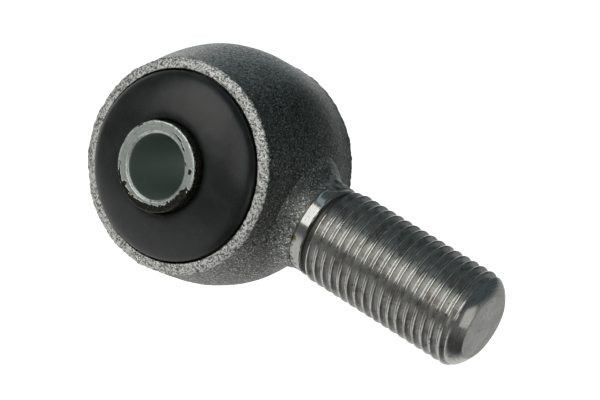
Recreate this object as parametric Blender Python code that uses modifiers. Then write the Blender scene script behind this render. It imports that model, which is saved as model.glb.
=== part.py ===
"""Rubber-bushed rod end, at rest, in metres, +Z up.

The origin is the centre of the eye. +X runs along the threaded shank, away from the eye,
and the eye's bore lies along Y. Four pieces: a steel forging that is both the eye and the
threaded shank, a thin outer sleeve pressed into the eye, a rubber bush bonded inside it,
and the steel inner sleeve that a bolt goes through.
"""

import math

import bmesh
import bpy

MM = 0.001

# Driving dimensions, in millimetres.
THREAD_MAJOR_R = 6.3  # 1/2-20 UNF, at the middle of its tolerance
PITCH = 1.27
SHANK_END = 41.8  # from the eye's centre to the shank's flat end
EYE_CREST_R = 15.45  # at the parting plane, where the forging is fattest
EYE_RIM_R = 13.5
EYE_HALF_WIDTH = 10.7
EYE_BORE_R = 12.05
SLEEVE_BORE_R = 4.1  # clears an 8 mm or 5/16 inch bolt
SLEEVE_R = 5.7
SLEEVE_HALF_LENGTH = 14.75
FIT_GAP = 0.1  # what pressed or bonded neighbours keep between them

# The eye.
EYE_RIM_SHOULDER = 10.3  # half width where the rim's crown meets the flank
EYE_FLANK_POWER = 0.62  # under 1 makes a broad crest between hollow flanks
EYE_FLANK_STEPS = 6
EYE_MOUTH_CHAMFER = 0.25

# The thread. Depths follow the unified form, with its crest and root flats.
THREAD_DEPTH = 0.6134 * PITCH
CREST_FLAT = PITCH / 8
ROOT_FLAT = PITCH / 5
THREAD_START = 18.1
GROOVE_START = 17.735  # at the shank's underside
GROOVE_LIFT = 0.1  # how far the groove's cutter stands out of the blank

# The shank between the eye and the thread.
NECK_R = 5.9
NECK_START = 16.4
FLARE_R = 2.4  # the forged fillet at the eye
SHANK_ROOT = 13.0  # where the shank's blank starts, inside the eye's wall
TIP_CHAMFER = 1.9
TIP_FLAT_R = 4.15
RUN_OUT = 0.3  # the cone from the neck up to the thread

# The bush.
OUTER_SLEEVE_WALL = 0.9
OUTER_SLEEVE_HALF_LENGTH = 10.0
SLEEVE_CHAMFER = 0.35
RUBBER_COLLAR = 13.2  # half width where the rubber meets the inner sleeve
RUBBER_DOME_R = 11.5  # where the dome turns into its rounded edge
RUBBER_DOME = 11.4  # half width there
RUBBER_EDGE_R = 11.8  # the lip that bulges over the outer sleeve's end, clear of the eye
RUBBER_EDGE = 10.9
RUBBER_LIP = 10.15  # half width of the lip's underside, above the outer sleeve's end

ROUND_STEPS = 48
THREAD_STEPS = 24

TO_MINUS_Y = (math.pi / 2, 0, 0)
TO_PLUS_X = (0, math.pi / 2, 0)


def clear_scene():
    for obj in list(bpy.data.objects):
        bpy.data.objects.remove(obj)


def new_collection(name):
    collection = bpy.data.collections.new(name)
    bpy.context.scene.collection.children.link(collection)
    return collection


def plain_material(name, color, roughness, metallic):
    material = bpy.data.materials.new(name)
    material.use_nodes = True
    shader = material.node_tree.nodes["Principled BSDF"]
    shader.inputs["Base Color"].default_value = (*color, 1)
    shader.inputs["Roughness"].default_value = roughness
    shader.inputs["Metallic"].default_value = metallic
    return material


def arc(centre, radius, start, end, steps):
    """Points (r, z) round an arc, by angle in degrees from the r axis."""
    angles = [math.radians(start + (end - start) * i / steps) for i in range(steps + 1)]
    return [(centre[0] + radius * math.cos(a), centre[1] + radius * math.sin(a)) for a in angles]


def turned(name, profile, collection, rotation, closed, steps=ROUND_STEPS):
    """A profile of (r, z) in millimetres, from its top down its outer side, turned about local Z."""
    mesh = bpy.data.meshes.new(name)
    count = len(profile)
    edges = [(i, (i + 1) % count) for i in range(count if closed else count - 1)]
    mesh.from_pydata([(r * MM, 0, z * MM) for r, z in profile], edges, [])
    obj = bpy.data.objects.new(name, mesh)
    collection.objects.link(obj)
    obj.rotation_euler = rotation
    screw = obj.modifiers.new("Turn", "SCREW")
    screw.axis = "Z"
    screw.angle = 2 * math.pi
    screw.steps = steps
    screw.render_steps = steps
    screw.use_merge_vertices = True
    screw.merge_threshold = 1e-6
    return obj


def mirrored(half):
    """The profile's upper half, then the same points below the middle plane, in reverse."""
    return half + [(r, -z) for r, z in reversed(half)]


def bake(obj):
    """Replaces the object's mesh by the one that its modifiers make."""
    bpy.context.view_layer.update()
    graph = bpy.context.evaluated_depsgraph_get()
    made = bpy.data.meshes.new_from_object(obj.evaluated_get(graph))
    obj.modifiers.clear()
    obj.data = made
    return obj


def finish_surface(obj, material):
    obj.data.materials.clear()
    obj.data.materials.append(material)
    obj.data.shade_smooth()
    obj.data.set_sharp_from_angle(angle=math.radians(35))


def boolean(obj, other, operation):
    modifier = obj.modifiers.new(operation.title(), "BOOLEAN")
    modifier.operation = operation
    modifier.solver = "EXACT"
    modifier.object = other


def hide(obj):
    obj.hide_render = True
    obj.display_type = "WIRE"


def flank_radius(z):
    """The eye's outer radius at a height from the parting plane: a raised cosine, broadened."""
    swell = (1 + math.cos(math.pi * z / EYE_RIM_SHOULDER)) / 2
    return EYE_RIM_R + (EYE_CREST_R - EYE_RIM_R) * swell**EYE_FLANK_POWER


def eye_profile():
    heights = [EYE_RIM_SHOULDER * i / EYE_FLANK_STEPS for i in range(EYE_FLANK_STEPS, 0, -1)]
    flank = [(flank_radius(z), z) for z in heights]
    mouth = EYE_BORE_R + EYE_MOUTH_CHAMFER
    crown = [
        (EYE_BORE_R, EYE_HALF_WIDTH - EYE_MOUTH_CHAMFER),
        (mouth, EYE_HALF_WIDTH),
        ((mouth + EYE_RIM_R) / 2, EYE_HALF_WIDTH - 0.1),
    ]
    upper = crown + flank
    return upper + [(EYE_CREST_R, 0)] + [(r, -z) for r, z in reversed(upper)]


def shank_profile():
    """The shank's blank from its free end back to its root inside the eye's wall."""
    fillet = [(NECK_R + FLARE_R - r, NECK_START - z) for r, z in arc((0, 0), FLARE_R, 0, 60, 4)]
    return [
        (0, SHANK_END),
        (TIP_FLAT_R, SHANK_END),
        (THREAD_MAJOR_R, SHANK_END - TIP_CHAMFER),
        (THREAD_MAJOR_R, THREAD_START + RUN_OUT),
        (NECK_R, THREAD_START),
        *fillet,
        (fillet[-1][0], SHANK_ROOT),
        (0, SHANK_ROOT),
    ]


def thread_groove(collection):
    """The helical V that cuts the thread: its section is screwed along the shank, and its ends are capped."""
    root = THREAD_MAJOR_R - THREAD_DEPTH
    outer = THREAD_MAJOR_R + GROOVE_LIFT
    mouth = (PITCH - CREST_FLAT) / 2 + GROOVE_LIFT * math.tan(math.radians(30))
    section = [
        (root, ROOT_FLAT / 2),
        (outer, mouth),
        (outer, -mouth),
        (root, -ROOT_FLAT / 2),
    ]
    turns = math.ceil((SHANK_END - GROOVE_START) / PITCH) + 1
    section = [(r, z + GROOVE_START) for r, z in section]
    groove = turned("thread_groove", section, collection, TO_PLUS_X, True, THREAD_STEPS)
    screw = groove.modifiers["Turn"]
    screw.screw_offset = PITCH * MM
    screw.iterations = turns
    bake(groove)
    bm = bmesh.new()
    bm.from_mesh(groove.data)
    bmesh.ops.remove_doubles(bm, verts=bm.verts, dist=1e-7)
    bmesh.ops.holes_fill(bm, edges=[e for e in bm.edges if e.is_boundary])
    bmesh.ops.recalc_face_normals(bm, faces=bm.faces)
    bm.to_mesh(groove.data)
    bm.free()
    hide(groove)
    return groove


def make_forging(parts, cutters):
    """The eye and its threaded shank, one piece of steel."""
    forging = turned("rod_end_body", eye_profile(), parts, TO_MINUS_Y, True)
    blank = turned("shank_blank", shank_profile(), cutters, TO_PLUS_X, False, THREAD_STEPS)
    hide(blank)
    boolean(bake(blank), thread_groove(cutters), "DIFFERENCE")
    bake(blank)
    boolean(bake(forging), blank, "UNION")
    bake(forging)
    finish_surface(forging, plain_material("forged_steel", (0.06, 0.065, 0.065), 0.55, 0.6))


def make_outer_sleeve(parts):
    outer = EYE_BORE_R - FIT_GAP
    inner = outer - OUTER_SLEEVE_WALL
    half = [(inner, OUTER_SLEEVE_HALF_LENGTH), (outer, OUTER_SLEEVE_HALF_LENGTH)]
    sleeve = bake(turned("outer_sleeve", mirrored(half), parts, TO_MINUS_Y, True))
    finish_surface(sleeve, plain_material("black_steel", (0.03, 0.03, 0.03), 0.45, 0.7))


def make_rubber(parts):
    """A collar against the inner sleeve, a domed face, and a lip that bulges over the outer sleeve's end."""
    inner = SLEEVE_R + FIT_GAP
    outer = EYE_BORE_R - OUTER_SLEEVE_WALL - 2 * FIT_GAP
    fall = RUBBER_COLLAR - RUBBER_DOME
    dome = [
        (inner + (RUBBER_DOME_R - inner) * t, RUBBER_COLLAR - fall * t**2.2)
        for t in (0, 0.25, 0.45, 0.62, 0.76, 0.88, 1)
    ]
    lip = [(RUBBER_EDGE_R, RUBBER_EDGE), (RUBBER_EDGE_R - 0.1, RUBBER_LIP), (outer, RUBBER_LIP)]
    rubber = bake(turned("rubber_bush", mirrored(dome + lip), parts, TO_MINUS_Y, True))
    finish_surface(rubber, plain_material("rubber", (0.035, 0.036, 0.036), 0.75, 0))


def make_inner_sleeve(parts):
    end, cut = SLEEVE_HALF_LENGTH, SLEEVE_CHAMFER
    half = [
        (SLEEVE_BORE_R, end - cut),
        (SLEEVE_BORE_R + cut, end),
        (SLEEVE_R - cut, end),
        (SLEEVE_R, end - cut),
    ]
    sleeve = bake(turned("inner_sleeve", mirrored(half), parts, TO_MINUS_Y, True))
    finish_surface(sleeve, plain_material("zinc_plated_steel", (0.62, 0.65, 0.64), 0.35, 1))


def main():
    clear_scene()
    parts = new_collection("rubber_bushed_rod_end")
    cutters = new_collection("cutters")
    make_forging(parts, cutters)
    make_outer_sleeve(parts)
    make_rubber(parts)
    make_inner_sleeve(parts)


main()
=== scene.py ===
import math

import bmesh
import bpy
import numpy as np
from mathutils import Matrix, Vector


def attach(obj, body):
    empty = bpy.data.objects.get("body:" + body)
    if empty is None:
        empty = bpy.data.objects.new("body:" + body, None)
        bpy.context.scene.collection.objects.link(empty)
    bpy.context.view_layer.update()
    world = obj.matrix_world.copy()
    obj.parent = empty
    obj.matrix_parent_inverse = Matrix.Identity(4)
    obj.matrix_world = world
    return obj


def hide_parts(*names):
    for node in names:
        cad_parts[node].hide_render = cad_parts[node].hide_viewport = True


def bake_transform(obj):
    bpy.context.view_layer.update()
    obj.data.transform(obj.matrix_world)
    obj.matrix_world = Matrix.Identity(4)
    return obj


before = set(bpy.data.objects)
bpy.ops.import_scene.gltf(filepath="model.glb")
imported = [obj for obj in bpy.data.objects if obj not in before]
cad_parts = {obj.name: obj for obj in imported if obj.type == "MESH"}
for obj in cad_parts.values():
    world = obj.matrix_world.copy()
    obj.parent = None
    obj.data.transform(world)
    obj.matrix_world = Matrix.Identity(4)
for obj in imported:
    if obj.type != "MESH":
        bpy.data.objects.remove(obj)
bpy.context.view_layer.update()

mm = 0.001
fullTurn = 2 * math.pi


# quads between neighbouring points of a grid; a wrapped grid's last line joins its first
def gridQuads(countU, countV, wrapU=False, wrapV=False):
    index = np.arange(countU * countV).reshape(countU, countV)
    if wrapU:
        index = np.vstack([index, index[:1]])
    if wrapV:
        index = np.hstack([index, index[:, :1]])
    corners = [index[:-1, :-1], index[1:, :-1], index[1:, 1:], index[:-1, 1:]]
    return np.stack(corners, axis=-1).reshape(-1, 4)


# points in millimetres and quads become one smooth closed mesh that faces outwards
def makePiece(name, points, quads, material, body, marks=None, weld=0.0005, sharp=40):
    mesh = bpy.data.meshes.new(name)
    mesh.vertices.add(len(points))
    mesh.vertices.foreach_set("co", (points * mm).astype(np.float32).ravel())
    mesh.loops.add(quads.size)
    mesh.loops.foreach_set("vertex_index", quads.astype(np.int32).ravel())
    mesh.polygons.add(len(quads))
    mesh.polygons.foreach_set("loop_start", np.arange(0, quads.size, 4, dtype=np.int32))
    for markName, values in (marks or {}).items():
        layer = mesh.attributes.new(markName, "FLOAT", "POINT")
        layer.data.foreach_set("value", values.astype(np.float32).ravel())
    mesh.update(calc_edges=True)
    # poles and end rings close as their points are merged, then the faces are turned outwards
    welded = bmesh.new()
    welded.from_mesh(mesh)
    bmesh.ops.remove_doubles(welded, verts=welded.verts, dist=weld * mm)
    bmesh.ops.dissolve_degenerate(welded, edges=welded.edges, dist=weld * mm * 0.1)
    bmesh.ops.recalc_face_normals(welded, faces=welded.faces)
    if welded.calc_volume(signed=True) < 0:
        bmesh.ops.reverse_faces(welded, faces=welded.faces)
    openEdges = sum(1 for edge in welded.edges if not edge.is_manifold)
    welded.to_mesh(mesh)
    welded.free()
    mesh.shade_smooth()
    mesh.set_sharp_from_angle(angle=math.radians(sharp))
    mesh.materials.append(material)
    piece = bpy.data.objects.new(name, mesh)
    bpy.context.scene.collection.objects.link(piece)
    if body:
        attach(piece, body)
    print(name, len(mesh.polygons), "faces", openEdges, "edges not closed")
    return piece


# radius and angle about the eye's axis become x and z; angle 0 is +X and a quarter turn is +Z
def roundEye(radius, along, angle):
    return np.stack([radius * np.cos(angle), along, radius * np.sin(angle)], axis=-1)


# a closed section of (radius, y) carried round the eye's axis in equal steps, and the steps' angles
def turnSection(section, steps):
    angle = np.arange(steps) * fullTurn / steps
    along = np.broadcast_to(section[:, 1], (steps, len(section)))
    return roundEye(section[None, :, 0], along, angle[:, None]), angle


# the far side of a half section: the same points with y turned over, in the opposite order
def mirrored(half):
    return (half * np.array([1, -1]))[::-1]


# the section's outward direction: its tangent turned a quarter turn
def sectionNormals(radius, along):
    radiusStep = np.roll(radius, -1) - np.roll(radius, 1)
    alongStep = np.roll(along, -1) - np.roll(along, 1)
    length = np.hypot(radiusStep, alongStep)
    return alongStep / length, -radiusStep / length


# smooth random hills between -1 and 1: scrambled numbers on a cubic lattice, eased between corners
def hills(points, size, seed):
    cell = points / size
    low = np.floor(cell).astype(np.int64)
    part = cell - low
    part = part * part * (3 - 2 * part)
    scramble = np.array([374761393, 668265263, 1440662683])
    total = 0
    for corner in np.ndindex(2, 2, 2):
        mixed = ((low + np.array(corner)) * scramble).sum(axis=-1) + seed * 1274126177
        mixed = (mixed ^ (mixed >> 13)) * 1103515245
        value = ((mixed ^ (mixed >> 16)) & 0xFFFF) / 65535
        total = total + np.prod(np.where(corner, part, 1 - part), axis=-1) * value
    return total * 2 - 1


# hills of several sizes added up; each layer is (height, size in mm, seed)
def layeredHills(points, layers):
    return sum(height * hills(points, size, seed) for height, size, seed in layers)


# 0 up to low and 1 from high, with an S-shaped cubic between them
def smoothStep(low, high, value):
    t = np.clip((value - low) / (high - low), 0, 1)
    return t * t * (3 - 2 * t)


# a bell: 1 at the middle and falling off with the square of the distance over the width
def bell(value, middle, width):
    return np.exp(-((value - middle) / width) ** 2)


# the larger or the smaller of two values, with the corner rounded over the distance soft
def softMax(a, b, soft):
    return (a + b + np.sqrt((a - b) ** 2 + soft * soft)) / 2


def softMin(a, b, soft):
    return (a + b - np.sqrt((a - b) ** 2 + soft * soft)) / 2


# a value that is a socket is linked, and any other is set on the input itself
def feed(tree, socket, value):
    if isinstance(value, bpy.types.NodeSocket):
        tree.links.new(value, socket)
    else:
        socket.default_value = value


def addNode(tree, kind, inputs=None, **settings):
    made = tree.nodes.new("ShaderNode" + kind)
    for key, value in settings.items():
        setattr(made, key, value)
    for key, value in (inputs or {}).items():
        feed(tree, made.inputs[key], value)
    return made


def newMaterial(name, **values):
    material = bpy.data.materials.new(name)
    material.use_nodes = True
    tree = material.node_tree
    shader = tree.nodes["Principled BSDF"]
    names = {"metallic": "Metallic", "roughness": "Roughness", "specular": "Specular IOR Level"}
    for key, value in values.items():
        shader.inputs[names[key]].default_value = value
    return material, tree, shader


# Object coordinates in millimetres, stretched by scale along each axis
def placeOn(tree, scale=(1, 1, 1)):
    coordinates = addNode(tree, "TexCoord")
    inputs = {"Vector": coordinates.outputs["Object"], "Scale": tuple(1000 * s for s in scale)}
    return addNode(tree, "Mapping", inputs).outputs["Vector"]


def splitAxes(tree, place):
    return addNode(tree, "SeparateXYZ", {"Vector": place}).outputs


# a cloudy pattern of 0 to 1; the scale is in grains per millimetre
def noise(tree, place, scale, detail=2.0, roughness=0.5, distortion=0.0):
    inputs = {
        "Vector": place, "Scale": scale, "Detail": detail,
        "Roughness": roughness, "Distortion": distortion,
    }
    return addNode(tree, "TexNoise", inputs).outputs["Fac"]


def mathNode(tree, operation, a, b=0.0, c=0.0):
    made = addNode(tree, "Math", operation=operation)
    for slotIndex, value in enumerate((a, b, c)):
        feed(tree, made.inputs[slotIndex], value)
    return made.outputs[0]


def added(tree, a, b):
    return mathNode(tree, "ADD", a, b)


def taken(tree, a, b):
    return mathNode(tree, "SUBTRACT", a, b)


def times(tree, a, b):
    return mathNode(tree, "MULTIPLY", a, b)


# value times factor plus offset
def scaled(tree, value, factor, offset):
    return mathNode(tree, "MULTIPLY_ADD", value, factor, offset)


# the distance of a value from a number, either way
def gapFrom(tree, value, number):
    return mathNode(tree, "ABSOLUTE", taken(tree, value, number))


# value between low and high becomes toLow to toHigh, smoothly
def fade(tree, value, low, high, toLow=0.0, toHigh=1.0):
    inputs = {"Value": value, "From Min": low, "From Max": high, "To Min": toLow, "To Max": toHigh}
    return addNode(tree, "MapRange", inputs, interpolation_type="SMOOTHSTEP").outputs["Result"]


def colourMix(tree, factor, first, second, blend="MIX"):
    made = addNode(tree, "Mix", data_type="RGBA", blend_type=blend)
    feed(tree, made.inputs[0], factor)
    for key, value in (("A", first), ("B", second)):
        socket = next(s for s in made.inputs if s.name == key and s.type == "RGBA")
        feed(tree, socket, (*value, 1) if isinstance(value, tuple) else value)
    return next(s for s in made.outputs if s.type == "RGBA")


# height times distance, in mm, tilts the surface by the share strength
def bump(tree, height, strength, distance, normal=None):
    inputs = {"Height": height, "Strength": strength, "Distance": distance * mm}
    if normal is not None:
        inputs["Normal"] = normal
    return addNode(tree, "Bump", inputs).outputs["Normal"]


def attribute(tree, name):
    made = addNode(tree, "Attribute", attribute_name=name, attribute_type="GEOMETRY")
    return made.outputs["Fac"]


# a soft spot round a place on the piece, 1 at its middle
def spot(tree, place, at, radius):
    gap = addNode(tree, "VectorMath", {0: place, 1: at}, operation="DISTANCE").outputs["Value"]
    return fade(tree, gap, radius, radius * 0.55)


def wire(tree, shader, sockets):
    for name, value in sockets.items():
        tree.links.new(value, shader.inputs[name])


eyeShape = {
    "crestRadius": 15.45,
    "rimRadius": 13.5,
    "shoulder": 10.22,  # half width at the rim's outer edge
    "faceWidth": 10.68,  # half width at the bore's mouth
    "boreRadius": 12.08,
    "flankPower": 0.62,
    "rimPower": 2.4,
    "flankPoints": 66,
    "rimPoints": 24,
    "borePoints": 8,
    "steps": 760,
    "waviness": 0.07,
    "waves": ((1.0, 6.5, 3), (0.55, 2.3, 5), (0.3, 0.9, 8)),  # layers: height, size, seed
    "pits": 0.07,
    "pitGrain": ((0.6, 0.42, 21), (0.5, 0.24, 22)),
    "raggedEdge": ((0.05, 1.3, 31), (0.07, 0.38, 32)),
    "burrs": ((31.0, 0.30), (20.5, 0.34)),  # angle in degrees and height, on the front rim
    "burrSpread": 0.9,  # degrees
}


# the flank: a raised cosine between the two rims, broadened by a power under 1
def flankRadius(y):
    shape = eyeShape
    swell = (1 + np.cos(math.pi * np.clip(y / shape["shoulder"], -1, 1))) / 2
    rise = shape["crestRadius"] - shape["rimRadius"]
    return shape["rimRadius"] + rise * swell ** shape["flankPower"]


# forging waves and grain at a point, the same for the eye and for the root of the shank
def skinRelief(points):
    return eyeShape["waviness"] * layeredHills(points, eyeShape["waves"])


# the eye's closed section: flank, rim, bore's mouth, bore, and the far mouth and rim
def eyeSection():
    shape = eyeShape
    rimR, edgeY = shape["rimRadius"], shape["shoulder"]
    boreR, mouthY = shape["boreRadius"], shape["faceWidth"]
    spread = np.linspace(-1, 1, shape["flankPoints"]) * math.pi / 2 * 0.985
    flankY = edgeY * np.sin(spread)
    flank = np.stack([flankRadius(flankY), flankY], 1)
    # the rim's face: steep at its outer edge, flat at the bore
    t = np.linspace(0, 1, shape["rimPoints"])[1:]
    faceR = rimR - 0.02 - (rimR - boreR - 0.1) * t
    faceY = edgeY + 0.06 + (mouthY - edgeY - 0.06) * (1 - (1 - t) ** shape["rimPower"])
    rim = np.stack([faceR, faceY], 1)
    mouth = np.array([[boreR + 0.03, mouthY - 0.06], [boreR, mouthY - 0.2]])
    boreY = np.linspace(mouthY - 0.5, -mouthY + 0.5, shape["borePoints"])
    bore = np.stack([np.full(len(boreY), boreR), boreY], 1)
    return np.vstack([flank, rim, mouth, bore, mirrored(mouth), mirrored(rim)])


# the section turned round the eye's axis and moved along its normals: waves on the flank, blasted
# pits on the rim, and a ragged outer edge
def makeEye(material):
    shape = eyeShape
    section = eyeSection()
    radius, along = section[:, 0], section[:, 1]
    points, angle = turnSection(section, shape["steps"])
    out, _ = turnSection(np.stack(sectionNormals(radius, along), 1), shape["steps"])
    halfWidth = np.abs(along)
    onRim = smoothStep(9.7, 10.15, halfWidth) * smoothStep(12.0, 12.2, radius)
    onFlank = smoothStep(12.4, 13.2, radius)
    relief = skinRelief(points) * onFlank[None]
    deepPits = np.maximum(hills(points, 0.6, 23) - 0.25, 0)
    grain = layeredHills(points, shape["pitGrain"]) - 0.9 * deepPits
    ragged = layeredHills(points, shape["raggedEdge"])
    edge = bell(radius, shape["rimRadius"], 0.35) * smoothStep(9.0, 10.0, halfWidth)
    relief = relief + shape["pits"] * grain * onRim[None] + ragged * edge[None]
    for burrAngle, burrSize in shape["burrs"]:
        burr = bell(np.degrees(angle), burrAngle, shape["burrSpread"])[:, None]
        relief = relief + burrSize * burr * edge[None] * (along < 0)[None]
    points = points + out * relief[..., None]
    quads = gridQuads(shape["steps"], len(section), wrapU=True, wrapV=True)
    rimMark = smoothStep(9.95, 10.3, halfWidth) * smoothStep(12.0, 12.15, radius)
    marks = {"rimFace": np.broadcast_to(rimMark, points.shape[:2])}
    points = points.reshape(-1, 3)
    return makePiece("forgedEye", points, quads, material, "eye", marks, sharp=75)


shankShape = {
    "majorRadius": 6.32,
    "pitch": 1.27,
    "depth": 0.68,
    "crestAt": 18.89,  # a crest's place along the shank where it faces crestAngle
    "crestAngle": 74.0,
    "rootShare": 0.14,  # the root's and the flank's shares of half a pitch; the crest has the rest
    "flankShare": 0.70,
    "profileSoft": 0.12,  # rounds the corners of the root and the crest
    "neckRadius": 5.9,
    "neckStart": 16.4,
    "neckPoints": 12,
    "threadStart": 17.9,
    "firstCut": (0.10, 0.50),  # distances past the thread's start where each one fades in
    "ridgeRise": (0.02, 0.18),
    "crestRise": (0.5, 1.1),
    "ridge": 0.22,
    "groove": 18.62,
    "grooveRadius": 5.62,
    "grooveHalfWidth": (0.54, 0.28),  # at its top and at its floor
    "threadEnd": 40.75,
    "chamferStart": 39.4,
    "chamferPower": 2.6,
    "end": 41.8,
    "flatRadius": 4.3,
    "endPoints": 15,
    "rootWidth": 2.0,
    "rootPoints": 18,
    "partingWidth": 1.1,  # how much wider the root is on the forging's parting plane
    "partingSpread": 24,  # degrees
    "flashAngle": 92,
    "flashSpread": 21,
    "flashStart": (14.6, 15.8),
    "flashEnd": (17.75, 17.95),
    "flashHeight": 0.20,
    "flashLumps": ((0.16, 0.9, 41), (0.09, 0.4, 42)),
    "turnSteps": 210,
    "pitchSteps": 18,
}


# radius and angle about the shank's axis become y and z; angle 0 is +Y
def roundShank(x, radius, angle):
    x, radius, angle = np.broadcast_arrays(x, radius, angle)
    return np.stack([x, radius * np.cos(angle), radius * np.sin(angle)], axis=-1)


# the chamfered end: past the last crest a cone that steepens down to the flat
def endRadius(x):
    shape = shankShape
    t = np.clip((x - shape["chamferStart"]) / (shape["end"] - shape["chamferStart"]), 0, 1)
    drop = 0.25 * t + 0.75 * t ** shape["chamferPower"]
    return shape["majorRadius"] + 0.03 - (shape["majorRadius"] - shape["flatRadius"]) * drop


# a helix: the radius follows the place within the pitch as a rounded wave, and the first groove
# fades in along its turn
def threadRadius(x, angle):
    shape = shankShape
    start, pitch = shape["threadStart"], shape["pitch"]
    turned = (np.degrees(angle) - shape["crestAngle"]) / 360
    turns = (x - shape["crestAt"]) / pitch - turned
    place = turns - np.floor(turns)  # 0 and 1 on a crest, 0.5 in a root
    height = (np.abs(2 * place - 1) - shape["rootShare"]) / shape["flankShare"]
    height = softMin(softMax(height, 0.0, shape["profileSoft"]), 1.0, shape["profileSoft"])
    rootX = shape["crestAt"] + pitch * (np.floor(turns) + 0.5 + turned)
    cutLow, cutHigh = shape["firstCut"]
    cut = smoothStep(start + cutLow, start + cutHigh, rootX)
    ridgeLow, ridgeHigh = shape["ridgeRise"]
    ridge = shape["ridge"] * smoothStep(start + ridgeLow, start + ridgeHigh, x)
    riseLow, riseHigh = shape["crestRise"]
    rise = smoothStep(start + riseLow, start + riseHigh, x)
    rise = (shape["majorRadius"] - shape["neckRadius"] - shape["ridge"]) * rise
    radius = shape["neckRadius"] + ridge + rise - shape["depth"] * (1 - height) * cut
    # the relief groove that the first crest starts from
    inGroove = smoothStep(*shape["grooveHalfWidth"], np.abs(x - shape["groove"]))
    radius = radius + (shape["grooveRadius"] - radius) * inGroove
    return softMin(radius, endRadius(x), 0.03)


# the forged root flares from the neck on to the eye as a quarter ellipse, wider on the forging's
# parting plane
def rootSurface(angle, lift):
    shape = shankShape
    neckR = shape["neckRadius"]
    parting = bell(np.abs(np.degrees(angle) % 180 - 90), 0, shape["partingSpread"])
    width = shape["rootWidth"] + shape["partingWidth"] * parting
    radius = neckR + 0.04 + width * (1 - np.sin(lift))
    y, z = radius * np.cos(angle), radius * np.sin(angle)
    onEye = np.sqrt(flankRadius(y) ** 2 - z ** 2)
    neckY, neckZ = neckR * np.cos(angle), neckR * np.sin(angle)
    rise = shape["neckStart"] - np.sqrt(flankRadius(neckY) ** 2 - neckZ ** 2)
    x = onEye + rise * (1 - np.cos(lift)) - 0.12 * np.cos(lift) ** 6
    points = np.stack([x, y, z], axis=-1)
    away = roundEye(1.0, 0.0 * angle, np.arctan2(z, x))
    return points + away * (skinRelief(points) * (1 - 0.6 * np.sin(lift)))[..., None]


# rings from inside the eye's wall, over the root and along the neck, up to the thread
def startRings(ring):
    shape = shankShape
    count, start = len(ring), shape["threadStart"]
    inside = roundShank(np.array([[13.1, 13.05]]), np.array([[0.0, 7.0]]), ring)
    grid = (count, shape["rootPoints"])
    lift = np.linspace(0, math.pi / 2, shape["rootPoints"])[None]
    root = rootSurface(np.broadcast_to(ring, grid), np.broadcast_to(lift, grid))
    neckX = np.linspace(shape["neckStart"] + 0.03, start, shape["neckPoints"])[None]
    neckR = shape["neckRadius"] - 0.05 * bell(neckX, shape["neckStart"], 0.15)
    neck = roundShank(neckX, neckR, ring)
    angle = ring[:, 0]
    neck[:, -1] = roundShank(start, threadRadius(np.full(count, start), angle), angle)
    return np.concatenate([inside, root, neck], axis=1)


# a strip one pitch wide wound along the helix, held between its two end rings
def threadStrip(count):
    shape = shankShape
    start, end, pitch = shape["threadStart"], shape["threadEnd"], shape["pitch"]
    turns = math.ceil((end - start) / pitch) + 1
    steps = np.arange(turns * count + 1)[:, None]
    across = np.arange(shape["pitchSteps"] + 1)[None] / shape["pitchSteps"]
    x = np.clip(start - pitch + pitch * (steps / count + across), start, end)
    around = np.broadcast_to((steps % count) * fullTurn / count, x.shape)
    return roundShank(x, threadRadius(x, around), around)


# rings down the chamfer and in across the flat end to its middle
def endRings(ring):
    shape = shankShape
    threadEnd, end = shape["threadEnd"], shape["end"]
    endX = threadEnd + (end - threadEnd) * np.linspace(0, 1, shape["endPoints"])[None] ** 0.8
    endX = np.broadcast_to(endX, (len(ring), shape["endPoints"]))
    cone = roundShank(endX, threadRadius(endX, ring), ring)
    flatShare = np.array([[0.985, 0.95, 0.8, 0.6, 0.4, 0.2, 0.0]])
    flatX = end + np.where(flatShare > 0.96, 0.012, 0.015)  # the flat's edge is eased
    flat = roundShank(flatX, shape["flatRadius"] * flatShare, ring)
    return np.concatenate([cone, flat], axis=1)


# how much scraped forging flash a point carries: a bell round the parting plane, along the neck
def flashShare(points):
    shape = shankShape
    around = np.degrees(np.arctan2(points[:, 2], points[:, 1])) % 180
    share = np.exp(-np.abs((around - shape["flashAngle"]) / shape["flashSpread"]) ** 3)
    share = share * smoothStep(*shape["flashStart"], points[:, 0])
    return share * (1 - smoothStep(*shape["flashEnd"], points[:, 0]))


# three grids in a row, then the flash lifted off the shank's axis in lumps
def makeShank(material):
    shape = shankShape
    count = shape["turnSteps"]
    ring = (np.arange(count) * fullTurn / count)[:, None]
    rows = ((startRings(ring), True), (threadStrip(count), False), (endRings(ring), True))
    grids, quads, base = [], [], 0
    for grid, wraps in rows:
        grids.append(grid.reshape(-1, 3))
        quads.append(gridQuads(grid.shape[0], grid.shape[1], wrapU=wraps) + base)
        base += grid.shape[0] * grid.shape[1]
    points = np.vstack(grids)
    flash = flashShare(points)
    outward = points * np.array([0, 1, 1])
    outward = outward / np.maximum(np.linalg.norm(outward, axis=1, keepdims=True), 1e-6)
    lumps = shape["flashHeight"] + layeredHills(points, shape["flashLumps"])
    onSkin = (points[:, 0] > 14) & (np.hypot(points[:, 1], points[:, 2]) > 5.5)
    points = points + outward * (flash * lumps * onSkin)[:, None]
    return makePiece(
        "threadedShank", points, np.vstack(quads), material, "eye",
        {"flash": flash}, weld=0.002, sharp=50,
    )


bushShape = {
    "innerRadius": 5.74,
    "middleRadius": 8.6,
    "outerRadius": 11.85,
    "sideRadius": 10.98,
    "collar": 13.3,  # half width at the sleeve
    "edge": 10.72,  # half width at the outer edge
    "lip": 10.2,
    "coveDepth": 0.35,
    "coveWidth": 0.25,
    "innerPoints": 26,
    "outerPoints": 30,
    "wallPoints": 7,
    "swell": ((0.035, 3.4, 51), (0.012, 1.1, 52)),  # layers: height, size, seed
    "steps": 320,
}


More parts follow.
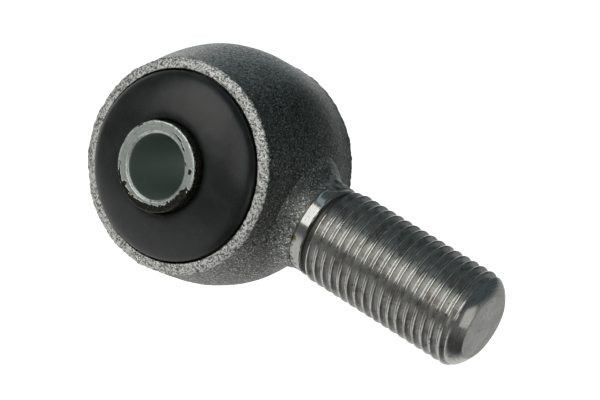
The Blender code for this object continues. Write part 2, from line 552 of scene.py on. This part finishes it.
# the rubber's face: a small cove at the sleeve, then a dome that steepens to its rounded outer edge
def rubberHeight(radius):
    shape = bushShape
    fromSleeve = radius - shape["innerRadius"]
    t = np.clip(fromSleeve / (shape["outerRadius"] - shape["innerRadius"]), 0, 1)
    dome = shape["edge"] + (shape["collar"] - shape["edge"]) * (1 - t ** 1.2) ** 0.45
    return dome - shape["coveDepth"] * np.exp(-fromSleeve / shape["coveWidth"])


# one half of the rubber as a closed section: both faces, and a plain or a lipped outer wall
def rubberRing(name, inner, outer, steps, material):
    shape = bushShape
    lipped = outer == shape["outerRadius"]
    share = np.sin(np.linspace(0, math.pi / 2, steps)) if lipped else np.linspace(0, 1, steps)
    radius = inner + (outer - inner) * share
    face = np.stack([radius, -rubberHeight(radius)], 1)
    wallR, wallY = outer, -face[-1, 1] - 0.4
    if lipped:
        lipY = shape["lip"]
        lip = [
            [outer - 0.02, -shape["edge"] + 0.2], [outer - 0.15, -lipY - 0.05],
            [outer - 0.4, -lipY], [shape["sideRadius"] + 0.1, -lipY],
        ]
        face = np.vstack([face, lip])
        wallR, wallY = shape["sideRadius"], lipY - 0.1
    count = shape["wallPoints"]
    wall = np.stack([np.full(count, wallR), np.linspace(-wallY, wallY, count)], 1)
    innerSide = -face[0, 1] - 0.4
    innerWall = np.stack([np.full(count, inner), np.linspace(innerSide, -innerSide, count)], 1)
    section = np.vstack([face, wall, mirrored(face), innerWall])
    points, _ = turnSection(section, shape["steps"])
    still = np.zeros(count)
    side = np.concatenate([np.full(len(face), -1.0), still, np.full(len(face), 1.0), still])
    points[..., 1] += layeredHills(points, shape["swell"]) * side[None]
    quads = gridQuads(shape["steps"], len(section), wrapU=True, wrapV=True)
    return makePiece(name, points.reshape(-1, 3), quads, material, None, sharp=50)


# the piece's placement baked into its mesh, and its points read back in millimetres; nothing
# further is done with them
def shearBetween(piece):
    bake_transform(piece)
    places = np.empty(len(piece.data.vertices) * 3)
    piece.data.vertices.foreach_get("co", places)
    places = places.reshape(-1, 3) / mm


# two rings that meet at the middle radius, the inner one from the sleeve and the outer one out to
# the eye, each with its placement baked into its mesh
def makeBush(material):
    shape = bushShape
    inner, middle, outer = shape["innerRadius"], shape["middleRadius"], shape["outerRadius"]
    near = rubberRing("rubberInner", inner, middle, shape["innerPoints"], material)
    far = rubberRing("rubberOuter", middle, outer, shape["outerPoints"], material)
    shearBetween(near)
    shearBetween(far)
    return near, far


outerSleeveShape = {
    "inner": 11.08,
    "outer": 11.98,
    "halfLength": 10.02,
    "cornerRadius": 0.22,
    "uneven": 0.04,
    "steps": 320,
}


# a plain tube with quarter-round corners, its two ends a little uneven
def makeOuterSleeve(material):
    shape = outerSleeveShape
    corner = shape["cornerRadius"]
    turn = np.linspace(0, math.pi / 2, 6)
    end = -shape["halfLength"] + corner
    outer = [shape["outer"] - corner + corner * np.cos(turn), end - corner * np.sin(turn)]
    inner = [shape["inner"] + corner - corner * np.sin(turn), end - corner * np.cos(turn)]
    half = np.vstack([np.stack(outer, 1), np.stack(inner, 1)])
    section = np.vstack([half, mirrored(half)])
    points, _ = turnSection(section, shape["steps"])
    points[..., 1] += shape["uneven"] * hills(points, 1.6, 61) * np.sign(points[..., 1])
    quads = gridQuads(shape["steps"], len(section), wrapU=True, wrapV=True)
    points = points.reshape(-1, 3)
    return makePiece("outerSleeveShell", points, quads, material, "eye")


sleeveShape = {
    "bore": 4.1,
    "radius": 5.68,
    "halfLength": 14.75,
    "boreChamfer": 0.30,
    "corner": 0.16,
    "facePoints": 22,
    "wallPoints": 14,
    "filmFrom": 14.62,  # half length up to which a rubber film climbs the outer wall
    "filmHeight": 0.05,
    "filmEdge": ((0.30, 0.34, 71), (0.20, 0.16, 72)),  # layers: height, size, seed
    "steps": 520,
}


# the sleeve's closed section: rounded corner, flat end, chamfer, bore, the far end, outer wall
def sleeveSection():
    shape = sleeveShape
    end, chamfer, corner = shape["halfLength"], shape["boreChamfer"], shape["corner"]
    turn = np.linspace(0, math.pi / 2, 6)
    cornerR = shape["radius"] - corner + corner * np.cos(turn)
    outerEdge = np.stack([cornerR, -end + corner - corner * np.sin(turn)], 1)
    count = shape["facePoints"]
    faceR = np.linspace(shape["radius"] - 0.2, shape["bore"] + chamfer, count)
    face = np.stack([faceR, np.full(count, -end)], 1)
    t = np.linspace(0, 1, 7)[1:]
    innerEdge = np.stack([shape["bore"] + chamfer * (1 - t), -end + chamfer * 0.9 * t], 1)
    front = np.vstack([outerEdge, face, innerEdge])
    count = shape["wallPoints"]
    boreY = np.linspace(-end + 0.9, end - 0.9, count)
    wallY = np.linspace(end - 0.6, -end + 0.6, count)
    bore = np.stack([np.full(count, shape["bore"]), boreY], 1)
    wall = np.stack([np.full(count, shape["radius"]), wallY], 1)
    return np.vstack([front, bore, mirrored(front), wall])


# places of the black rubber left on the sleeve's end: angle, radius, half length round and half
# width, in degrees and mm
leftRubber = [
    (-137.0, 5.45, 12.0, 0.20), (-120.0, 5.42, 16.0, 0.42), (-98.0, 5.36, 24.0, 0.56),
    (-72.0, 5.34, 30.0, 0.70), (-42.0, 5.34, 26.0, 0.72), (-18.0, 5.34, 18.0, 0.70),
    (-129.0, 5.05, 3.5, 0.30), (80.0, 4.92, 5.0, 0.11), (71.0, 4.85, 6.5, 0.16),
    (62.0, 4.72, 4.0, 0.10), (54.0, 4.66, 5.0, 0.14), (33.0, 4.42, 4.5, 0.13),
    (21.0, 5.08, 4.5, 0.28), (141.0, 5.55, 5.0, 0.12), (-151.0, 5.34, 6.0, 0.09),
    (-158.0, 5.25, 3.0, 0.08), (-146.0, 5.38, 4.0, 0.14),
]


# how much black rubber covers a point of the sleeve: the nearest patch's share or the film on the
# outer wall, with a ragged edge
def rubberCover(points):
    radius = np.hypot(points[..., 0], points[..., 2])
    angle = np.degrees(np.arctan2(points[..., 2], points[..., 0]))
    cover = np.full(radius.shape, -1.0)
    for patchAngle, patchRadius, halfRound, halfWidth in leftRubber:
        away = (angle - patchAngle + 180) % 360 - 180
        fromPatch = np.hypot(away / halfRound, (radius - patchRadius) / halfWidth)
        cover = np.maximum(cover, 1 - fromPatch)
    wall = (np.abs(points[..., 1]) - sleeveShape["filmFrom"]) * -4.0
    cover = np.maximum(cover, np.where(radius > 5.5, wall, -1.0))
    return smoothStep(0.0, 0.22, cover + layeredHills(points, sleeveShape["filmEdge"]))


# the section turned round the eye's axis, its outer edge a little ragged, the film standing proud
def makeSleeve(material):
    shape = sleeveShape
    section = sleeveSection()
    points, _ = turnSection(section, shape["steps"])
    nearEdge = bell(section[:, 0], shape["radius"], 0.3)
    nearEdge = nearEdge * smoothStep(14.0, 14.5, np.abs(section[:, 1]))
    dents = 0.006 * hills(points, 0.55, 81) - 0.01 * np.maximum(hills(points, 0.9, 82), 0)
    ragged = 1 + dents * nearEdge[None]
    points[..., 0] *= ragged
    points[..., 2] *= ragged
    cover = rubberCover(points)
    points[..., 1] -= shape["filmHeight"] * cover
    quads = gridQuads(shape["steps"], len(section), wrapU=True, wrapV=True)
    return makePiece(
        "boltSleeve", points.reshape(-1, 3), quads, material, "sleeve",
        {"leftRubber": cover}, sharp=60,
    )


# patterns are (scale per mm, detail, roughness); fades are (low, high, and what they become)
skinLook = {
    "broad": (0.20, 2.0, 0.5),
    "mottle": (1.1, 4.0, 0.7),
    "grain": (3.4, 3.0, 0.75),
    "speck": (4.8, 1.0, 0.5),
    "dark": (0.055, 0.068, 0.064),
    "light": (0.50, 0.52, 0.505),
    "scale": (0.075, 0.085, 0.08),
    "scaleFade": (0.42, 0.64, 0.0, 0.45),
    "warm": (0.30, 0.275, 0.265),
    "warmFade": (0.35, 0.65, 0.0, 0.35),
    "glint": (1.0, 1.0, 0.98),
    "bump": (0.65, 0.16),  # strength, and depth in mm
}


# the forging's own skin: dark scale, mottled and full of bright grains, with white specks painted
# in as glints
def forgedSkin(tree, place):
    look = skinLook
    broad, mottle, grain, speck = (
        noise(tree, place, *look[key]) for key in ("broad", "mottle", "grain", "speck")
    )
    skin = colourMix(tree, fade(tree, grain, 0.36, 0.66), look["dark"], look["light"])
    skin = colourMix(tree, fade(tree, mottle, *look["scaleFade"]), skin, look["scale"])
    skin = colourMix(tree, fade(tree, broad, *look["warmFade"]), skin, look["warm"])
    # painted glints: white specks in the skin's colour stand in for sparkle highlights
    skin = colourMix(tree, fade(tree, speck, 0.61, 0.67), skin, look["glint"])
    return skin, grain, mottle


eyeLook = {
    "metallic": 0.9,
    "pitted": (3.9, 3.0, 0.7),
    "paintedPitShade": (0.19, 0.195, 0.19),
    "pitBright": (1.0, 1.0, 0.97),
    "clumps": (1.5, 2.0, 0.6),
    "clumpColour": (0.22, 0.22, 0.21),
    "paintedSparkles": (2.4, 1.0, 0.5),
    "paintedSparkleColour": (1.0, 1.0, 0.98),
    "paintedSideShade": (0.42, 0.46, 0.44),
    "paintedSideShadeFade": (8.0, 14.0, 0.0, 0.9),
    "paintedTopLightDark": (0.20, 0.22, 0.215),
    "paintedTopLightBright": (1.0, 1.0, 0.98),
    "paintedTopLightFade": (10.0, 15.5, 0.0, 0.75),
    "rimBump": (0.6, 0.17),
}


# the rim is bright steel between pits darkened with painted shade, with white flecks painted as
# sparkle highlights; the flank is skin, darkened with painted shade where 0.85 x + 0.5 z is large
# and lightened with painted light where z - 0.35 x is large
def forgedEyeFinish():
    look = eyeLook
    material, tree, shader = newMaterial("forged eye", metallic=look["metallic"])
    place = placeOn(tree)
    skin, grain, mottle = forgedSkin(tree, place)
    ragged = added(tree, attribute(tree, "rimFace"), scaled(tree, mottle, 0.9, -0.45))
    rim = fade(tree, ragged, 0.36, 0.58)
    pitted = noise(tree, place, *look["pitted"])
    # painted shade: the pits, where the bump is low, are coloured dark
    bright = colourMix(tree, fade(tree, pitted, 0.42, 0.55), look["paintedPitShade"], look["pitBright"])
    clumps = fade(tree, noise(tree, place, *look["clumps"]), 0.54, 0.74, 0.0, 0.4)
    bright = colourMix(tree, clumps, bright, look["clumpColour"])
    # painted highlights: white flecks stand in for the rim's sparkle
    paintedSparkles = fade(tree, noise(tree, place, *look["paintedSparkles"]), 0.60, 0.66)
    bright = colourMix(tree, paintedSparkles, bright, look["paintedSparkleColour"])
    axes = splitAxes(tree, place)
    # painted shade: the flank's right-hand upper side is multiplied darker
    paintedSideShade = scaled(tree, axes["Z"], 0.5, times(tree, axes["X"], 0.85))
    paintedSideShade = fade(tree, paintedSideShade, *look["paintedSideShadeFade"])
    skin = colourMix(tree, paintedSideShade, skin, look["paintedSideShade"], "MULTIPLY")
    # painted light: the flank's upper left is lightened with pale grains
    top = scaled(tree, axes["X"], -0.35, axes["Z"])
    pale = colourMix(tree, fade(tree, grain, 0.38, 0.64), look["paintedTopLightDark"], look["paintedTopLightBright"])
    skin = colourMix(tree, fade(tree, top, *look["paintedTopLightFade"]), skin, pale)
    relief = bump(tree, grain, *skinLook["bump"])
    wire(tree, shader, {
        "Base Color": colourMix(tree, rim, skin, bright),
        "Roughness": scaled(tree, rim, -0.06, scaled(tree, grain, 0.16, 0.40)),
        "Normal": bump(tree, times(tree, pitted, rim), *look["rimBump"], relief),
    })
    return material


shankLook = {
    "metallic": 0.95,
    "lineStretch": (9.0, 0.35, 0.35),  # rolling lines are short along the shank, long round it
    "lines": (1.0, 3.0, 0.6),
    "steelDark": (0.54, 0.545, 0.53),
    "steelLight": (0.74, 0.74, 0.71),
    "neckDull": (0.2, 0.2, 0.2),
    "neckDullShare": 0.22,
    "stains": (0.6, 4.0, 0.65, 0.6),
    "stainFade": (0.47, 0.66, 0.0, 0.62),
    "stainColour": (0.22, 0.19, 0.16),
    "flankColour": (0.30, 0.29, 0.27),
    "flankShare": 0.22,
    "paintedGrooveShadeFade": (0.50, 0.38, 0.0, 0.9),
    "paintedGrooveShadeColour": (0.045, 0.045, 0.04),
    "specks": (2.6, 3.0, 0.6),
    "speckFade": (0.60, 0.72, 0.0, 0.8),
    "speckColour": (0.10, 0.09, 0.08),
    "flashDark": (0.15, 0.16, 0.16),
    "flashLight": (0.62, 0.63, 0.61),
    "threadFrom": (18.0, 18.3),
    "threadTo": (40.6, 40.1),
    "machinedFrom": (16.33, 16.45),
    "lineBump": (0.10, 0.02),
}

# stains on the neck: place in mm, radius, colour and strength
neckStains = [
    ((16.62, -5.76, -1.3), 0.60, (0.16, 0.14, 0.008), 0.95),  # an olive spot at the neck's edge
    ((16.7, -5.55, -2.2), 0.22, (0.10, 0.08, 0.03), 0.8),
    ((16.6, -4.3, -4.1), 0.60, (0.035, 0.03, 0.02), 0.9),
    ((17.1, -3.6, -4.7), 0.45, (0.05, 0.04, 0.03), 0.85),
    ((16.8, -4.9, -3.3), 0.20, (0.05, 0.04, 0.03), 0.8),
    ((16.6, -2.9, -5.2), 0.5, (0.04, 0.035, 0.03), 0.9),
]


# where a point lies within the thread's pitch: x in pitches less the turn, its fraction; 0 is a
# crest and 0.5 a root
def threadPlace(tree, axes):
    shape = shankShape
    turn = mathNode(tree, "ARCTAN2", axes["Z"], axes["Y"])
    turn = scaled(tree, turn, 1 / fullTurn, -shape["crestAngle"] / 360)
    pitches = scaled(tree, axes["X"], 1 / shape["pitch"], -shape["crestAt"] / shape["pitch"])
    return mathNode(tree, "FRACT", taken(tree, pitches, turn))


# machined steel over forged skin: the neck dulled, crests and roots polished by rolling with the
# flanks between them duller, painted shade in the relief groove, stains, and flash scraped over the
# edge
def shankFinish():
    look = shankLook
    material, tree, shader = newMaterial("threaded shank", metallic=look["metallic"])
    place = placeOn(tree)
    axes = splitAxes(tree, place)
    skin, grain, mottle = forgedSkin(tree, place)
    lines = noise(tree, placeOn(tree, look["lineStretch"]), *look["lines"])
    steel = colourMix(tree, fade(tree, lines, 0.3, 0.7), look["steelDark"], look["steelLight"])
    threadPart = fade(tree, axes["X"], *look["threadFrom"])
    dulled = colourMix(tree, look["neckDullShare"], steel, look["neckDull"])
    steel = colourMix(tree, threadPart, dulled, steel)
    onThread = times(tree, threadPart, fade(tree, axes["X"], *look["threadTo"]))
    stains = fade(tree, noise(tree, place, *look["stains"]), *look["stainFade"])
    steel = colourMix(tree, times(tree, stains, onThread), steel, look["stainColour"])
    fromRoot = gapFrom(tree, threadPlace(tree, axes), 0.5)
    flank = fade(tree, gapFrom(tree, fromRoot, 0.25), 0.19, 0.10)
    flank = times(tree, flank, onThread)
    flankShare = times(tree, flank, look["flankShare"])
    steel = colourMix(tree, flankShare, steel, look["flankColour"])
    # painted shade: the relief groove is coloured near black
    paintedGrooveShade = fade(tree, gapFrom(tree, axes["X"], shankShape["groove"]), *look["paintedGrooveShadeFade"])
    steel = colourMix(tree, paintedGrooveShade, steel, look["paintedGrooveShadeColour"])
    specks = fade(tree, noise(tree, place, *look["specks"]), *look["speckFade"])
    steel = colourMix(tree, specks, steel, look["speckColour"])
    for at, radius, colour, strength in neckStains:
        stain = times(tree, spot(tree, place, at, radius), strength)
        steel = colourMix(tree, times(tree, stain, fade(tree, grain, 0.3, 0.5)), steel, colour)
    flash = attribute(tree, "flash")
    scraped = fade(tree, mottle, 0.35, 0.65)
    scraped = colourMix(tree, scraped, look["flashDark"], look["flashLight"])
    skin = colourMix(tree, fade(tree, flash, 0.25, 0.6), skin, scraped)
    # the machined edge runs a little unevenly, and further along under the flash
    edge = added(tree, axes["X"], scaled(tree, grain, 0.35, -0.17))
    machined = fade(tree, scaled(tree, flash, -2.6, edge), *look["machinedFrom"])
    smooth = scaled(tree, flank, 0.16, scaled(tree, lines, 0.12, 0.10))
    smooth = scaled(tree, paintedGrooveShade, 0.25, smooth)
    coarse = times(tree, grain, taken(tree, 1.0, machined))
    relief = bump(tree, lines, *look["lineBump"])
    wire(tree, shader, {
        "Base Color": colourMix(tree, machined, skin, steel),
        "Roughness": added(tree, smooth, scaled(tree, machined, -0.32, 0.32)),
        "Normal": bump(tree, coarse, *skinLook["bump"], relief),
    })
    return material


rubberLook = {
    "specular": 0.54,
    "bloom": (0.45, 4.0, 0.6, 0.4),
    "deep": (0.014, 0.0175, 0.0165),
    "bloomed": (0.023, 0.0275, 0.0262),
    "dust": (6.0, 2.0, 0.6),
    "dustFade": (0.66, 0.74, 0.0, 0.6),
    "dustColour": (0.13, 0.135, 0.125),
    "mouldGrain": (9.0, 3.0, 0.6),
    "bump": (0.12, 0.03),
}


# black rubber with a faint cloudy bloom, fine dust and the mould's grain
def mouldedRubber():
    look = rubberLook
    material, tree, shader = newMaterial("moulded rubber", metallic=0.0, specular=look["specular"])
    place = placeOn(tree)
    bloom = noise(tree, place, *look["bloom"])
    dust = fade(tree, noise(tree, place, *look["dust"]), *look["dustFade"])
    black = colourMix(tree, fade(tree, bloom, 0.35, 0.7), look["deep"], look["bloomed"])
    wire(tree, shader, {
        "Base Color": colourMix(tree, dust, black, look["dustColour"]),
        "Roughness": scaled(tree, bloom, 0.18, 0.22),
        "Normal": bump(tree, noise(tree, place, *look["mouldGrain"]), *look["bump"]),
    })
    return material


shellLook = {
    "metallic": 0.8,
    "roughness": 0.42,
    "worn": (1.8, 3.0, 0.6),
    # near black: the sleeve's black finish together with painted shade under the rim
    "dark": (0.02, 0.02, 0.02),
    "rubbed": (0.12, 0.12, 0.115),
    "grain": (5.0, 2.0, 0.5),
    "bump": (0.2, 0.04),
}


# the outer sleeve's edge: nearly black, partly its black finish and partly painted shade under the
# rim, rubbed lighter in patches
def blackAndShadedShell():
    look = shellLook
    material, tree, shader = newMaterial(
        "outer sleeve steel", metallic=look["metallic"], roughness=look["roughness"]
    )
    place = placeOn(tree)
    # painted shade: the sleeve is near black, partly for its black finish and partly for the shade
    # under the rim
    worn = fade(tree, noise(tree, place, *look["worn"]), 0.4, 0.7)
    wire(tree, shader, {
        "Base Color": colourMix(tree, worn, look["dark"], look["rubbed"]),
        "Normal": bump(tree, noise(tree, place, *look["grain"]), *look["bump"]),
    })
    return material


zincLook = {
    "slow": (0.35, 2.0, 0.5),
    "rings": (9.0, 3.0, 0.75),
    "grain": (5.0, 3.0, 0.6),
    "worn": (2.2, 3.0, 0.7),
    "stain": (1.4, 3.0, 0.6),
    "dark": (0.53, 0.575, 0.56),
    "light": (0.74, 0.78, 0.765),
    "grainColour": (0.30, 0.32, 0.31),
    "grainFade": (0.60, 0.75, 0.0, 0.6),
    "wornColour": (0.36, 0.40, 0.385),
    "wornFade": (0.50, 0.66, 0.0, 0.45),
    "edgeWearAndHighlightColour": (0.95, 1.0, 0.975),
    "innerEdge": (4.50, 4.36),  # radii where the bright edges begin and are full
    "outerEdge": (5.36, 5.50),
    "stainColour": (0.34, 0.31, 0.17),
    "stainHeights": (-3.9, -4.7),
    "boreColour": (0.48, 0.55, 0.51),
    "boreFade": (4.16, 4.11),
    "filmDark": (0.006, 0.006, 0.005),
    "filmBrown": (0.085, 0.075, 0.045),
    "ringBump": (0.30, 0.03),
    "grainBump": (0.15, 0.03),
}


# turned zinc-plated steel: turning marks are noise read along the radius, bent a little by a slow
# noise round the face; bright edges, partly wear and partly painted highlight, a stain low down, a
# dull bore, and the black film
def zincPlate():
    look = zincLook
    material, tree, shader = newMaterial("zinc plate", metallic=1.0)
    place = placeOn(tree)
    axes = splitAxes(tree, place)
    squares = added(tree, times(tree, axes["X"], axes["X"]), times(tree, axes["Z"], axes["Z"]))
    radius = mathNode(tree, "SQRT", squares)
    slow, grain, worn = (noise(tree, place, *look[key]) for key in ("slow", "grain", "worn"))
    bent = {"X": scaled(tree, slow, 0.35, radius), "Y": times(tree, slow, 0.5)}
    ringPlace = addNode(tree, "CombineXYZ", bent).outputs["Vector"]
    rings = noise(tree, ringPlace, *look["rings"])
    zinc = colourMix(tree, fade(tree, rings, 0.35, 0.65), look["dark"], look["light"])
    zinc = colourMix(tree, fade(tree, grain, *look["grainFade"]), zinc, look["grainColour"])
    zinc = colourMix(tree, fade(tree, worn, *look["wornFade"]), zinc, look["wornColour"])
    # the bright edges are partly wear and partly painted highlight
    innerEdge = fade(tree, radius, *look["innerEdge"])
    outerEdge = fade(tree, radius, *look["outerEdge"])
    edges = mathNode(tree, "MAXIMUM", innerEdge, outerEdge)
    edges = times(tree, edges, fade(tree, worn, 0.62, 0.46))
    zinc = colourMix(tree, edges, zinc, look["edgeWearAndHighlightColour"])
    stain = fade(tree, noise(tree, place, *look["stain"]), 0.45, 0.7)
    stain = times(tree, stain, fade(tree, axes["Z"], *look["stainHeights"]))
    zinc = colourMix(tree, stain, zinc, look["stainColour"])
    inBore = fade(tree, radius, *look["boreFade"])
    zinc = colourMix(tree, inBore, zinc, look["boreColour"])
    black = fade(tree, attribute(tree, "leftRubber"), 0.35, 0.6)
    film = colourMix(tree, fade(tree, grain, 0.52, 0.66), look["filmDark"], look["filmBrown"])
    bare = scaled(tree, inBore, 0.12, scaled(tree, grain, 0.22, 0.34))
    relief = bump(tree, rings, *look["ringBump"])
    wire(tree, shader, {
        "Base Color": colourMix(tree, black, zinc, film),
        "Metallic": taken(tree, 1.0, black),
        "Roughness": scaled(tree, black, -0.16, bare),
        "Normal": bump(tree, grain, *look["grainBump"], relief),
    })
    return material


room = {
    "boxDistance": 0.70,
    "floorDrop": 0.060,
    "floorHalf": 6.0,
    "below": 0.66,  # brightness from below, overhead, behind at the left and right, and in front
    "overhead": 0.075,
    "backLeft": 1.3,
    "backRight": 0.33,
    "frontHorizon": 0.12,
    "rightShade": 0.93,
    "aboveFade": (0.15, 0.40),
    "behindFade": (-0.1, 0.7),
    "belowFade": (-0.32, -0.66),
    "leftFade": (-0.02, -0.38),
    "rightFade": (0.15, 0.60),
    "warmColour": (1.0, 1.0, 0.985),
    "coolColour": (0.78, 1.0, 1.06),
}

# soft boxes: name, direction from the eye, width, height, watts and colour
softBoxes = [
    ("keyBox", (-0.40, -0.85, 0.44), 0.52, 0.62, 1.50, (1.0, 0.985, 0.95)),
    ("fillBox", (0.33, -0.88, 0.34), 0.48, 0.54, 0.75, (1.0, 0.99, 0.95)),
    ("sideBox", (1.0, -0.06, 0.02), 0.34, 0.36, 0.17, (1.0, 0.98, 0.93)),
    ("coolStrip", (-0.40, -0.30, 0.86), 0.9, 0.12, 0.12, (0.80, 1.0, 1.08)),
]


# a rectangular soft box at a distance along a direction, aimed at the eye
def softBox(name, direction, width, height, watts, colour):
    light = bpy.data.lights.new(name, "AREA")
    light.shape = "RECTANGLE"
    light.size, light.size_y = width, height
    light.energy = watts
    light.color = colour
    box = bpy.data.objects.new(name, light)
    way = Vector(direction).normalized()
    box.location = way * room["boxDistance"]
    box.rotation_euler = way.to_track_quat("Z", "Y").to_euler()
    bpy.context.scene.collection.objects.link(box)


# pale below, dark and cool overhead, and a low horizon that is bright at the back left only
def lightRoom():
    for row in softBoxes:
        softBox(*row)
    world = bpy.data.worlds.new("room")
    world.use_nodes = True
    tree = world.node_tree
    background = tree.nodes["Background"]
    axes = splitAxes(tree, addNode(tree, "TexCoord").outputs["Generated"])
    above = fade(tree, axes["Z"], *room["aboveFade"])
    behind = fade(tree, axes["Y"], *room["behindFade"])
    below = fade(tree, scaled(tree, behind, -0.22, axes["Z"]), *room["belowFade"])
    left = fade(tree, axes["X"], *room["leftFade"], room["backRight"], room["backLeft"])
    horizon = times(tree, behind, taken(tree, left, room["frontHorizon"]))
    horizon = added(tree, horizon, room["frontHorizon"])
    strength = times(tree, taken(tree, 1.0, above), horizon)
    right = scaled(tree, fade(tree, axes["X"], *room["rightFade"]), -room["rightShade"], 1.0)
    lower = taken(tree, times(tree, right, room["below"]), strength)
    strength = scaled(tree, below, lower, strength)
    strength = added(tree, strength, times(tree, above, room["overhead"]))
    tree.links.new(strength, background.inputs["Strength"])
    colour = colourMix(tree, above, room["warmColour"], room["coolColour"])
    tree.links.new(colour, background.inputs["Color"])
    bpy.context.scene.world = world


# a plain white square under the object that casts nothing back on to it
def makeFloor():
    half, drop = room["floorHalf"], -room["floorDrop"]
    corners = [(-half, -half, drop), (half, -half, drop), (half, half, drop), (-half, half, drop)]
    mesh = bpy.data.meshes.new("floor")
    mesh.from_pydata(corners, [], [(0, 1, 2, 3)])
    material = bpy.data.materials.new("white floor")
    material.use_nodes = True
    shader = material.node_tree.nodes["Principled BSDF"]
    shader.inputs["Base Color"].default_value = (0.9, 0.9, 0.9, 1)
    shader.inputs["Emission Color"].default_value = (1, 1, 1, 1)
    shader.inputs["Emission Strength"].default_value = 1.0
    mesh.materials.append(material)
    floor = bpy.data.objects.new("floor", mesh)
    bpy.context.scene.collection.objects.link(floor)
    floor.visible_glossy = False
    floor.visible_diffuse = False
    floor.visible_shadow = False


view = {
    "place": (0.130146, -0.231729, 0.072847),
    "right": (0.765358, 0.509739, 0.392930),
    "up": (-0.472703, 0.030881, 0.880681),
    "back": (0.436783, -0.859775, 0.264590),
    "lens": 129.24,
    "sensor": 36.0,
    "near": 0.01,
    "far": 50.0,
}


# the camera's axes are the columns of its turn
def placeCamera():
    camera = bpy.data.cameras.new("camera")
    camera.lens = view["lens"]
    camera.sensor_width = view["sensor"]
    camera.clip_start = view["near"]
    camera.clip_end = view["far"]
    holder = bpy.data.objects.new("camera", camera)
    axes = Matrix([view["right"], view["up"], view["back"]]).transposed()
    holder.matrix_world = Matrix.Translation(view["place"]) @ axes.to_4x4()
    bpy.context.scene.collection.objects.link(holder)
    bpy.context.scene.camera = holder


placeCamera()
print("camera placed")
lightRoom()
makeFloor()
print("light and floor set")
eye = makeEye(forgedEyeFinish())
shank = makeShank(shankFinish())
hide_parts("rod_end_body")
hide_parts("rod_end_body")
print("forging made")
for piece in makeBush(mouldedRubber()):
    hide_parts("rubber_bush")
shell = makeOuterSleeve(blackAndShadedShell())
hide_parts("outer_sleeve")
sleeve = makeSleeve(zincPlate())
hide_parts("inner_sleeve")
print("bush made")
bpy.context.scene.view_settings.view_transform = "Standard"
